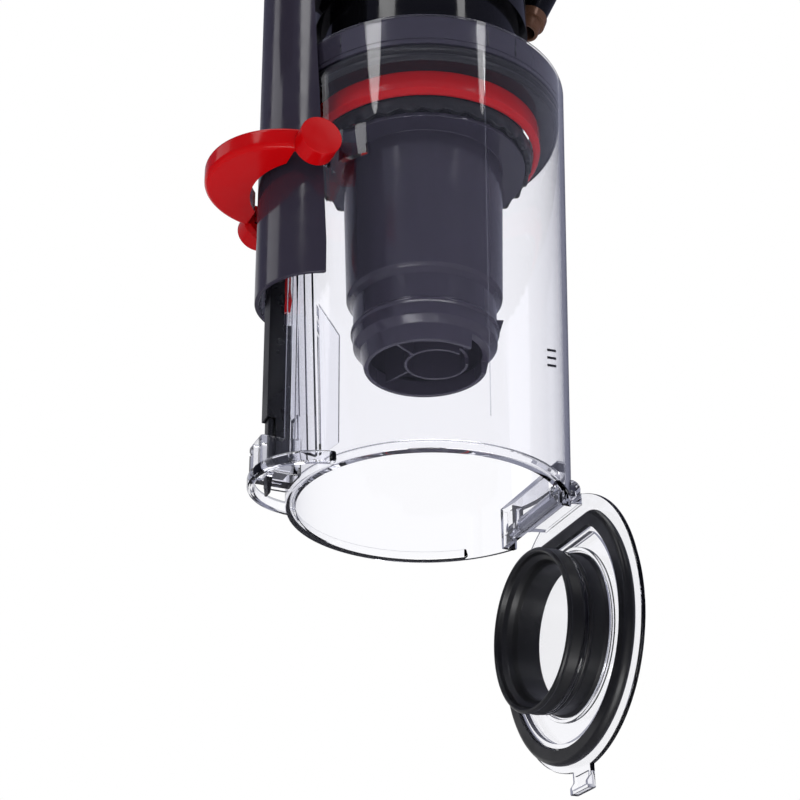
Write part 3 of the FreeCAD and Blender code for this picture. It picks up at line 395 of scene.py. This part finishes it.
piece("collar_band_shell", turned([(52.2, 190.8), (63.1, 190.8), (63.15, 192.7), (62.7, 192.9), (62.7, 193.3),
                                   (63.2, 193.5), (63.6, 204.9), (60.9, 204.9), (60.9, 193.8), (52.2, 193.8)], 0.12),
      "bin", plum, ["collar_band"])
clips = bmesh.new()
for angle in (-147, -87, -74, 0, 60, 120):
    joint = block(63.0, 63.55, -0.25, 0.25, 194, 204.4)
    placed(joint, Matrix.Rotation(math.radians(angle), 4, "Z"))
    mesh = bpy.data.meshes.new("joint")
    joint.to_mesh(mesh)
    joint.free()
    clips.from_mesh(mesh)
    bpy.data.meshes.remove(mesh)
piece("collar_band_joints", clips, "bin", black)
piece("collar_seal_rubber", turned([(61.2, 183), (61.7, 183), (62.85, 184.2), (62.85, 185.4), (61.5, 186.4),
                                    (61.5, 187.2), (62.9, 188.2), (62.95, 189.2), (62.2, 189.9), (62.2, 190.7),
                                    (52.3, 190.7), (52.3, 184.5), (61.2, 184.5)], 0.25),
      "bin", rubber, ["collar_seal"])
gloss_black = bpy.data.materials.new("polished_black_abs")
gloss_black.use_nodes = True
tree = gloss_black.node_tree
tree.nodes.clear()
place = add(tree, "TexCoord")
film = add(tree, "TexNoise", {"Vector": place.outputs["Object"], "Scale": 1 / (10 * MM), "Detail": 3.0})
haze = add(tree, "MapRange", {"Value": film.outputs["Fac"], "From Min": 0.35, "From Max": 0.7, "To Min": 0.06,
                              "To Max": 0.14})
gloss_skin = add(tree, "BsdfPrincipled", {"Base Color": linear("#0b0b0e"), "Roughness": haze.outputs[0], "IOR": 1.5})
add(tree, "OutputMaterial", {"Surface": gloss_skin.outputs[0]})
piece("collar_plate", turned([(53.2, 183), (61.1, 183), (61.1, 184.4), (53.2, 184.4)], 0.3),
      "bin", gloss_black)
piece("red_ring_band", turned([(50.6, 172.3), (51.9, 172.3), (53.9, 174.2), (54, 182.9), (52.3, 182.9),
                               (51.7, 174.3)], 0.3), "bin", red, ["red_ring"])
skirt = turned([(47.3, 165.6), (48.9, 165.6), (49.6, 168.6), (50.2, 172.1), (47.3, 172.1)], 0.3, 360)
for v in skirt.verts:
    low = (172.2 - v.co.z) / 6.8
    lobe = 0.5 + 0.5 * math.cos(30 * math.atan2(v.co.y, v.co.x))
    if math.hypot(v.co.x, v.co.y) > 48:
        v.co.xy *= 1 + 0.012 * low * lobe
    v.co.z += 1.9 * low * low * (1 - lobe)
piece("wiper_skirt", skirt, "bin", rubber, ["shroud_wiper"])


# Runner, push rod and catch: satin black ABS strips that slide on the rails, and a small red catch on a pin.
def cast(node, width=0.0, segments=2, angle=30):
    """A merged copy of a CAD node's mesh, in the bin's millimetres, with its hard edges rounded."""
    bm = bmesh.new()
    bm.from_mesh(frame["nodes"][node].data)
    bmesh.ops.transform(bm, matrix=in_bin.inverted(), verts=bm.verts)
    bmesh.ops.remove_doubles(bm, verts=bm.verts, dist=0.002)
    bmesh.ops.dissolve_limit(bm, angle_limit=math.radians(0.5), verts=bm.verts, edges=bm.edges)
    if width:
        hard = [e for e in bm.edges if e.calc_face_angle(0) > math.radians(angle)]
        bmesh.ops.bevel(bm, geom=hard, offset=width, segments=segments, profile=0.5, affect="EDGES",
                        material=-1, clamp_overlap=True)
    bmesh.ops.triangulate(bm, faces=[f for f in bm.faces if len(f.verts) > 4])
    return bm


piece("runner_strip", cast("bin_runner", 0.3), "bin", black, ["bin_runner"])
piece("pushrod_strip", cast("pushrod", 0.3), "pushrod", black, ["pushrod"])
catch = cast("runner_catch", 0.3)
for v in catch.verts:
    if v.co.x < -67:
        v.co.x -= 2.0
piece("catch_hook", catch, "runner_catch", red, ["runner_catch"])


# Release lever: a red horseshoe round the sleeve with a round boss on each side, moulded in ABS and polished.
yoke = bmesh.new()
bmesh.ops.create_circle(yoke, cap_ends=True, radius=1, segments=192)
bmesh.ops.scale(yoke, vec=(36.4, 34.4, 1), verts=yoke.verts)
upper = bmesh.ops.extrude_face_region(yoke, geom=yoke.faces[:])["geom"]
bmesh.ops.translate(yoke, vec=(0, 0, 10.2), verts=[v for v in upper if isinstance(v, bmesh.types.BMVert)])
bmesh.ops.recalc_face_normals(yoke, faces=yoke.faces)
bmesh.ops.bevel(yoke, geom=[e for e in yoke.edges if e.calc_face_angle(0) > math.radians(60)], offset=2.6, segments=8,
                profile=0.5, affect="EDGES", clamp_overlap=True, material=-1)
placed(yoke, Matrix.Translation((-64.6, 0, 140.1)))
opening = placed(turned([(0, 130), (31.4, 130), (31.4, 160), (0, 160)], 0, 128), Matrix.Translation((-48.7, 0, 0)))
yoke = carved(yoke, [block(-63.6, 0, -50, 50, 130, 160), opening, block(-72.6, 0, -30.2, 30.2, 130, 160)])
bosses = []
for side in (-1, 1):
    ends = [(r, side * y) for r, y in ((3.2, 30.2), (7.1, 30.2), (9.1, 32.2), (9.1, 41.5), (0, 41.5), (0, 40.2),
                                       (3.2, 40.2))]
    bosses.append(lying(turned(ends, 0.3, 128), -64.6, 143))
yoke = carved(carved(yoke, bosses, "UNION"), [bin_cone(0.5, 130, 162)])
piece("lever_horseshoe", yoke, "release_lever", red, ["release_lever"])


# Hinge: a steel pin through the clear knuckles of bin and lid, as cut and lightly oiled.
steel = bpy.data.materials.new("turned_steel")
steel.use_nodes = True
tree = steel.node_tree
tree.nodes.clear()
place = add(tree, "TexCoord")
turn = add(tree, "TexNoise", {"Vector": place.outputs["Object"], "Scale": 1 / (1.2 * MM), "Detail": 2.0})
dull = add(tree, "MapRange", {"Value": turn.outputs["Fac"], "To Min": 0.22, "To Max": 0.4})
metal = add(tree, "BsdfPrincipled", {"Base Color": linear("#8d8f96"), "Metallic": 1.0, "Roughness": dull.outputs[0]})
add(tree, "OutputMaterial", {"Surface": metal.outputs[0]})
piece("hinge_rod", lying(turned([(0, -25.4), (1.6, -25.4), (1.6, 25.4), (0, 25.4)], 0.3, 48), hinge_x, hinge_z),
      "bin", steel, ["hinge_pin"])


# Lid, drawn closed and swung open about the hinge: a clear moulded plate with a straight side, a ridge inside the
# seal, a tube that holds the gasket, a long barrel for the pin and a hollow tab. Seal and gasket are black rubber.
in_lid = (in_bin @ Matrix.Translation((hinge_x, 0, hinge_z)) @ Matrix.Rotation(math.radians(-91), 4, "Y")
          @ Matrix.Translation((-hinge_x, 0, -hinge_z)))


def d_plate(radius, flat, low, high, corner, soft=0.0, segments=3):
    """Disc with a straight side across +X, its two corners and its upper and lower edges rounded."""
    side = math.sqrt((radius - corner) ** 2 - (flat - corner) ** 2)
    turn = math.atan2(side, flat - corner)
    arcs = [(0, 0, radius, turn, 2 * math.pi - turn, 160), (flat - corner, -side, corner, -turn, 0, 16),
            (flat - corner, side, corner, 0, turn, 16)]
    bm = bmesh.new()
    bm.faces.new([bm.verts.new((x + r * math.cos(first + (last - first) * i / steps),
                                y + r * math.sin(first + (last - first) * i / steps), low))
                  for x, y, r, first, last, steps in arcs for i in range(steps + (r == corner))])
    bmesh.ops.remove_doubles(bm, verts=bm.verts, dist=0.01)
    top = bmesh.ops.extrude_face_region(bm, geom=bm.faces[:])["geom"]
    bmesh.ops.translate(bm, vec=(0, 0, high - low), verts=[v for v in top if isinstance(v, bmesh.types.BMVert)])
    bmesh.ops.recalc_face_normals(bm, faces=bm.faces)
    if soft:
        rims = [e for e in bm.edges if e.calc_face_angle(0) > math.radians(60)]
        bmesh.ops.bevel(bm, geom=rims, offset=soft, segments=segments, profile=0.5, affect="EDGES",
                        clamp_overlap=True, material=-1)
    return bm


ridge = carved(d_plate(47.1, 37.6, -1, 3.4, 7, 0.6), [d_plate(45.0, 35.5, -2, 5, 5)])
tube = turned([(28.9, -1), (31.2, -1), (31.2, 10.1), (33.7, 10.1), (34.0, 11.0), (33.7, 11.9), (29.8, 11.9),
               (28.9, 10.6)], 0.3)
dish = turned([(34.8, -1), (36.4, -1), (36.4, 1.8), (34.8, 1.8)], 0.4)
arms = slab([(46, -2.2), (57, -2.2), (58.1, hinge_z), (51.2, hinge_z), (52, -0.1), (46, -0.1)], -16.7, 16.7, 0.5)
barrel = lying(turned([(0, -16.7), (3.6, -16.7), (3.6, 16.7), (0, 16.7)], 0.5, 48), hinge_x, hinge_z)
tab = carved(slab([(-52.6, -2.2), (-52.6, -0.1), (-60.4, -0.1), (-62.8, 1.6), (-65.6, 1.6), (-65.6, -2.2)], -7.5, 7.5, 0.4),
             [block(-63.9, -58.2, -5.6, 5.6, -1.1, 4)])
heel = placed(d_plate(55.5, 53.5, -2.2, -0.1, 5, 0.5), Matrix.Translation((4, 0, 0)))
lid_plate = carved(d_plate(56.6, 50, -2.2, -0.1, 2, 0.5), [heel, ridge, tube, dish, arms, barrel, tab], "UNION")
lid_plate = carved(lid_plate, [lying(turned([(0, -60), (1.65, -60), (1.65, 60), (0, 60)], 0, 32), hinge_x, hinge_z)])
piece("lid_plate", lid_plate, "lid", clear, ["lid"], in_lid, 28)

lid_seal = carved(d_plate(53.9, 44.4, 0.02, 4.8, 13, 2.2, 6), [d_plate(47.5, 38.0, -1, 6, 7.4)])
piece("lid_seal_ring", lid_seal, "lid", rubber, ["lid_seal"], in_lid)
gasket = turned([(31.4, 0.05), (34.2, 0.05), (34.2, 1.3), (33.1, 2.4), (33.0, 7.6), (33.7, 8.5), (33.7, 9.6),
                 (33.1, 10.0), (31.3, 10.0)], 0.25)
piece("gasket_rear_band", gasket, "lid", rubber, ["lid_gasket"], in_lid)
gasket = turned([(28.0, 0.3), (28.7, 0.3), (28.7, 12.0), (33.4, 12.0), (34.2, 12.8), (33.8, 17.4), (34.3, 18.4),
                 (33.7, 19.35), (32.6, 19.4), (31.9, 18.6), (31.4, 16.8), (29.4, 15.4), (28.4, 13.2), (28.0, 11)], 0.4)
piece("gasket_front_band", gasket, "lid", rubber, (), in_lid)


# Shroud: the glossy collector inside the bin, with its ledge, ramps, mouth and inner tube, and above it the wide
# slotted wall. Both are moulded ABS, purple-grey below and black above.
shroud = turned([(24.6, 65.4), (26.6, 65.4), (28.2, 72.6), (31.3, 75.6), (31.4, 80.8), (32.4, 81.6), (32.3, 82.6),
                 (31.3, 83.6), (31.3, 95.1), (32.7, 97.4), (34.3, 98.9), (36.4, 164.4), (46.7, 164.5), (46.7, 166.4),
                 (34.4, 166.4), (32.2, 101.6), (29.3, 93.6), (29.3, 76.6), (24.6, 72.6)], 0.35)
inner_tube = placed(turned([(12.6, 68.4), (14, 68.4), (14, 91.6), (12.6, 91.6)], 0.4, 96),
                    Matrix.Translation((5, 0, 0)))
ramps = []
for angle, z in ((-18, 81.6), (8, 75.9)):
    ramps.append(placed(slab([(27.3, z), (32.5, z + 2), (34.7, z + 9), (27.3, z + 9)], -1, 1, 0.2),
                        Matrix.Rotation(math.radians(angle), 4, "Z")))
webs = [placed(block(start, 25.6, -0.6, 0.6, 68.4, 91.6, 0.2), Matrix.Rotation(math.radians(angle), 4, "Z"))
        for angle, start in ((110, 10.9), (-150, 9.1))]
shroud = carved(shroud, [inner_tube] + ramps + webs, "UNION")
shroud = carved(shroud, [block(10, 29.6, -26.6, -6, 60, 71.4, 0.4)])
piece("collector_shell", shroud, "main", plum, ["shroud_collector"], sharp=30)
piece("shroud_wall", cast("shroud_mesh"), "main", gloss_black, ["shroud_mesh"])


# Cyclone pack: the black body above the shroud, tilted cones with stepped tips, and the manifold over them.
copper = bpy.data.materials.new("copper_coloured_abs")
copper.use_nodes = True
tree = copper.node_tree
tree.nodes.clear()
place = add(tree, "TexCoord")
flake = add(tree, "TexNoise", {"Vector": place.outputs["Object"], "Scale": 1 / (0.6 * MM), "Detail": 2.0})
tint = add(tree, "Mix", {0: flake.outputs["Fac"], 6: linear("#6b4a38"), 7: linear("#8a6450")}, data_type="RGBA")
copper_skin = add(tree, "BsdfPrincipled", {"Base Color": tint.outputs[2], "Roughness": 0.24, "IOR": 1.5,
                                           "Metallic": 0.3})
add(tree, "OutputMaterial", {"Surface": copper_skin.outputs[0]})
piece("cyclone_body_shell", cast("cyclone_body", 0.3), "main", gloss_black, ["cyclone_body"])
for i in range(1, 8):
    piece("cone_%d" % i, cast("cyclone_cone_%d" % i, 0.2), "main", gloss_black,
          ["cyclone_cone_%d" % i])
    piece("cone_tip_%d" % i, cast("cyclone_tip_%d" % i, 0.2), "main", copper,
          ["cyclone_tip_%d" % i])
piece("cyclone_cover_shell", cast("cyclone_cover", 0.5), "main", plum, ["cyclone_cover"])


# Duct sleeve: a polished arched shell round the runner, open towards the bin, moulded in the same purple-grey ABS.
arch = placed(turned([(27.4, 86.3), (29.4, 86.3), (29.4, 261.9), (27.4, 261.9)], 0.45, 96, 142, 109),
              Matrix.Translation((-47.2, 0, 0)))
piece("sleeve_shell", carved(arch, [bin_cone(0.8, 80, 270)]), "main", plum, ["duct_sleeve"])


# Casing: motor housing, neck, filter cap and hand grip, moulded in grey and plum ABS and screwed together.
grey = bpy.data.materials.new("satin_grey_abs")
grey.use_nodes = True
tree = grey.node_tree
tree.nodes.clear()
place = add(tree, "TexCoord")
spark = add(tree, "TexNoise", {"Vector": place.outputs["Object"], "Scale": 1 / (0.6 * MM), "Detail": 2.0})
grain = add(tree, "Bump", {"Height": spark.outputs["Fac"], "Strength": 0.15, "Distance": 0.05 * MM})
worn = add(tree, "TexNoise", {"Vector": place.outputs["Object"], "Scale": 1 / (18 * MM), "Detail": 3.0})
satin = add(tree, "MapRange", {"Value": worn.outputs["Fac"], "From Min": 0.35, "From Max": 0.7, "To Min": 0.32,
                               "To Max": 0.46})
grey_skin = add(tree, "BsdfPrincipled", {"Base Color": linear("#4c4b55"), "Roughness": satin.outputs[0], "IOR": 1.5,
                                         "Normal": grain.outputs["Normal"]})
add(tree, "OutputMaterial", {"Surface": grey_skin.outputs[0]})
slots = {part["node"]: part["material_slot"] for part in frame["record"]["subparts"]}
for node, finish, width in (("motor_housing", plum, 0.4), ("main_neck", plum, 0.6), ("filter_cap", grey, 0.4),
                            ("grip_left", grey, 0.3), ("grip_right", grey, 0.3)):
    body = "filter_cap" if node == "filter_cap" else "main"
    piece(node + "_shell", cast(node, width), body, finish, [node])
piece("mode_button_cap", cast("mode_button", 0.4), "mode_button", black, ["mode_button"])
piece("trigger_blade", cast("trigger", 0.9, 3), "trigger", red, ["trigger"])


# Battery: a black ABS case with a latch on top, pushed on to the end of the grip.
piece("battery_shell", cast("battery_case", 0.6), "battery", black, ["battery_case"])
piece("battery_latch_tab", cast("battery_latch", 0.4), "battery_latch", red,
      ["battery_latch"])


# Inner parts keep their CAD shapes: motor, filter, cells and board, each in the finish such a part has.
def finished(name, code, rough, metallic, grain_mm, other):
    """A moulded, turned or woven finish whose colour varies between two shades at the size of its grain."""
    made = bpy.data.materials.new(name)
    made.use_nodes = True
    tree = made.node_tree
    tree.nodes.clear()
    place = add(tree, "TexCoord")
    fleck = add(tree, "TexNoise", {"Vector": place.outputs["Object"], "Scale": 1 / (grain_mm * MM), "Detail": 2.0})
    tint = add(tree, "Mix", {0: fleck.outputs["Fac"], 6: linear(code), 7: linear(other)}, data_type="RGBA")
    bump = add(tree, "Bump", {"Height": fleck.outputs["Fac"], "Strength": 0.2, "Distance": 0.05 * MM})
    skin = add(tree, "BsdfPrincipled", {"Base Color": tint.outputs[2], "Roughness": rough, "Metallic": metallic,
                                        "Normal": bump.outputs["Normal"]})
    add(tree, "OutputMaterial", {"Surface": skin.outputs[0]})
    return made


laminated = finished("laminated_motor_steel", "#6f7178", 0.35, 1.0, 0.5, "#8b8d94")
alloy = finished("machined_aluminium", "#b9bcc2", 0.28, 1.0, 0.8, "#d0d2d6")
paper = finished("pleated_filter_paper", "#e8e6df", 0.85, 0.0, 1.2, "#d3d0c6")
board = finished("green_circuit_board", "#1d4a32", 0.4, 0.0, 1.5, "#245a3c")
inside = {"black_plastic": black, "grey_plastic": grey, "plum_gloss": plum, "steel": steel, "aluminium": alloy,
          "laminated_steel": laminated, "filter_paper": paper, "board_green": board, "red_gloss": red,
          "copper_plastic": copper, "black_rubber": rubber}
for node in ("motor_bucket", "motor_stator", "motor_bearings", "rotor_shaft", "impeller", "filter_media",
             "grip_screws", "trigger_switch", "circuit_board", "battery_cells"):
    part = frame["nodes"][node]
    part.data.materials.clear()
    part.data.materials.append(inside[slots[node]])
